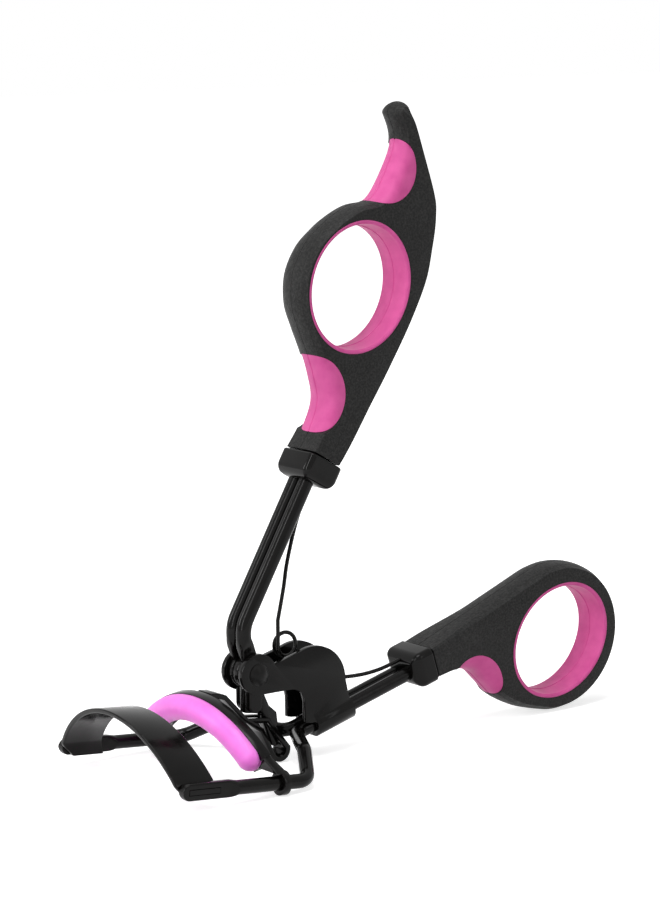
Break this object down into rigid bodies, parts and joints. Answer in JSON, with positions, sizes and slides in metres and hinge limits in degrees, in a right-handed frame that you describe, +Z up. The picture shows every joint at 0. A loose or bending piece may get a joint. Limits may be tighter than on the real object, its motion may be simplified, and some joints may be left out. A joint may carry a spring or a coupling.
{
  "type": "eyelash curler",
  "caption": "Hand eyelash curler: a sprung lever with finger rings slides a soft arched pad along rails against a fixed arched plate.",
  "frame": {"origin": "middle of the length and width, on the table the open curler stands on", "axes": "+X from the jaws to the handles, +Y across the jaws to the right rail, +Z up"},
  "size_m": [0.1096, 0.0428, 0.1137],
  "materials": {
    "black_metal": "glossy black paint",
    "spring_wire": "satin black",
    "gloss_plastic": "glossy black",
    "black_plastic": "fine matte texture",
    "pink_grip": "matte soft pink",
    "pink_silicone": "satin silicone, bright pink"
  },
  "bodies": {
    "frame_body": {"guide_rod_left": "black_metal", "guide_rod_right": "black_metal", "front_jaw_plate": "black_metal", "pivot_bracket": "black_metal", "pivot_rivet": "black_metal", "lower_ferrule": "gloss_plastic", "lower_handle": "black_plastic", "lower_ring_liner": "pink_grip", "lower_finger_rest": "pink_grip", "torsion_spring": "spring_wire"},
    "lever_body": {"lever_rod_left": "black_metal", "lever_rod_right": "black_metal", "lever_tail": "black_metal", "upper_ferrule": "gloss_plastic", "upper_handle": "black_plastic", "upper_ring_liner": "pink_grip", "upper_finger_rest": "pink_grip", "upper_tail_rest": "pink_grip"},
    "jaw_body": {"pad_carrier": "black_metal", "silicone_pad": "pink_silicone", "drive_strap": "black_metal"}
  },
  "joints": [
    {"name": "lever_pivot", "type": "hinge", "parent": "frame_body", "child": "lever_body", "pos_m": [-0.02577, 0, 0.0167], "axis": [0, 1, 0], "range_deg": [0, 30], "stiffness_Nm_per_rad": 0.05, "springref_deg": -20.05, "deforming": ["torsion_spring"]},
    {"name": "jaw_slide", "type": "slide", "parent": "frame_body", "child": "jaw_body", "axis": [-0.9965, 0, 0.0837], "range_m": [0, 0.0073]}
  ],
  "couplings": [
    {"joint": "jaw_slide", "follows": "lever_pivot", "m_per_rad": 0.01394}
  ]
}
